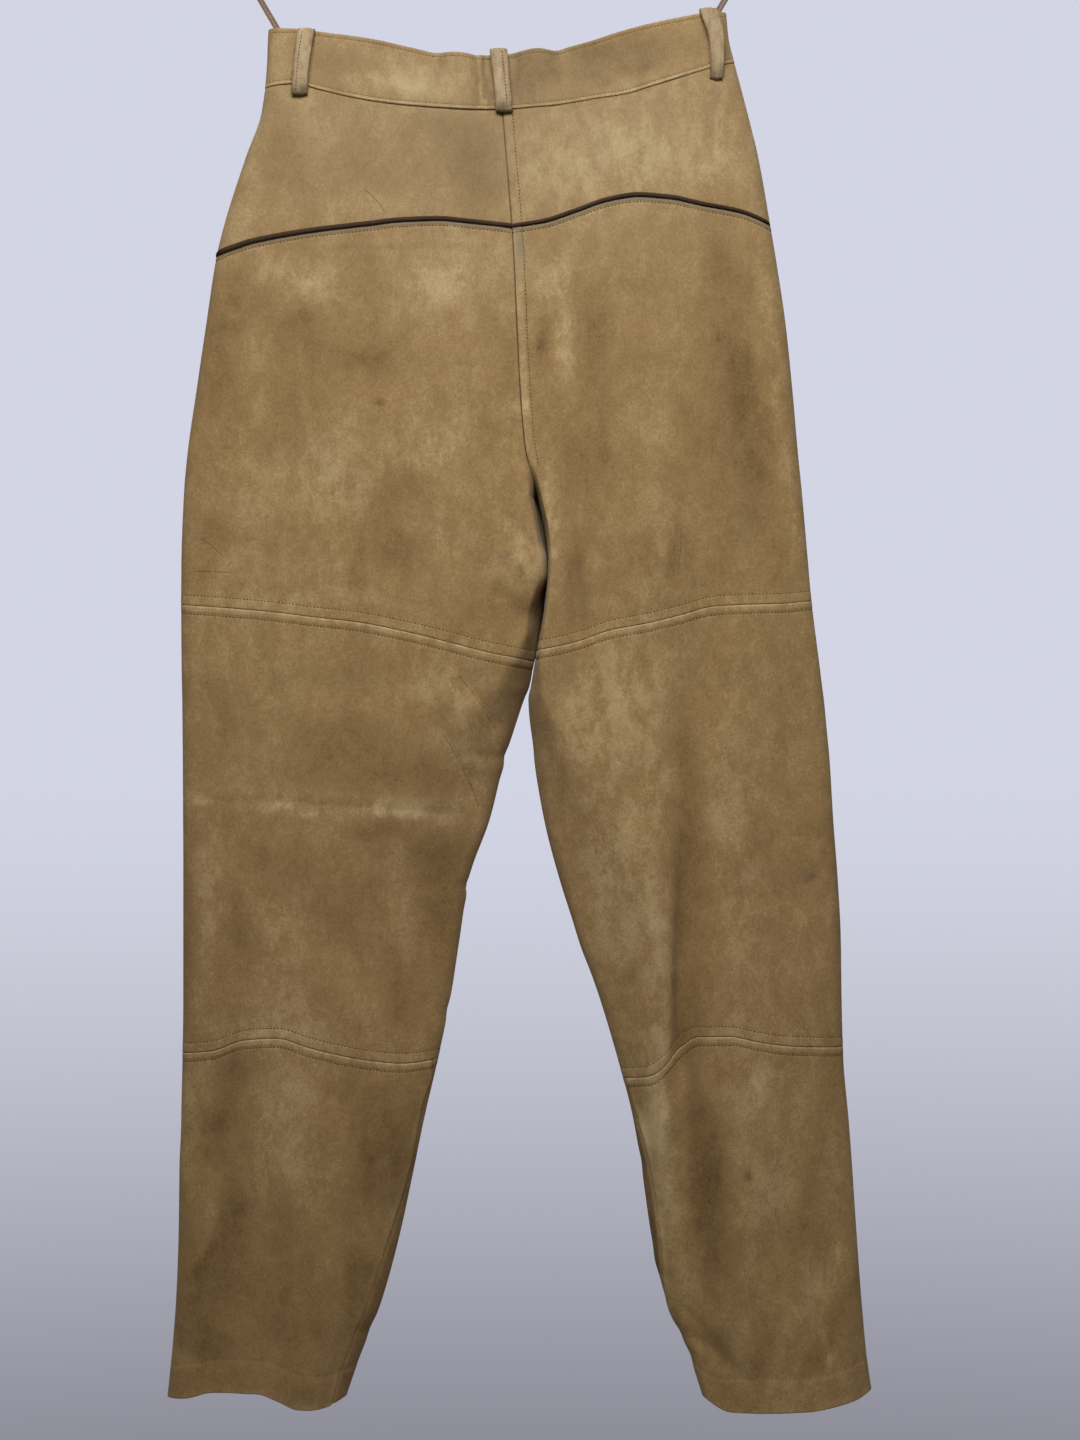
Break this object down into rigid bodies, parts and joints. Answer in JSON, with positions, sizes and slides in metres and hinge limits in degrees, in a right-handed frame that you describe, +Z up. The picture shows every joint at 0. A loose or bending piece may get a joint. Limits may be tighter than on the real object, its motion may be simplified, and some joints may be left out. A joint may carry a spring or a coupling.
{
  "type": "long suede lederhosen and hanger",
  "caption": "Long tapered suede trousers with a high waistband, piped back yoke and cross seams, hung by two loops from a plain hanger.",
  "frame": {"origin": "where the inside of the hanger's hook rests on its rail", "axes": "+Z up along the hanging trousers, the back of the trousers towards -Y, the wearer's right leg on +X"},
  "size_m": [0.528, 0.0683, 1.2418],
  "materials": {
    "suede": "napped tan suede, matte",
    "loop_suede": "paler worn suede, matte",
    "piping": "smooth dark brown leather",
    "tape": "narrow woven brown tape",
    "horn": "polished horn-like button",
    "plastic": "plain moulded dark plastic"
  },
  "bodies": {
    "root": {"waistband_left": "suede", "back_yoke_left": "suede", "piping_left": "piping", "back_thigh_left": "suede", "front_top_left": "suede", "back_knee_left": "suede", "back_calf_left": "suede", "front_knee_left": "suede", "front_calf_left": "suede", "hang_loop_left": "tape", "waistband_right": "suede", "back_yoke_right": "suede", "piping_right": "piping", "back_thigh_right": "suede", "front_top_right": "suede", "back_knee_right": "suede", "back_calf_right": "suede", "front_knee_right": "suede", "front_calf_right": "suede", "hang_loop_right": "tape", "belt_loop_centre": "loop_suede", "belt_loop_back_left": "loop_suede", "belt_loop_back_right": "loop_suede", "belt_loop_front_left": "loop_suede", "belt_loop_front_right": "loop_suede", "fly_lap": "suede", "waist_button": "horn", "hanger": "plastic"}
  },
  "joints": []
}
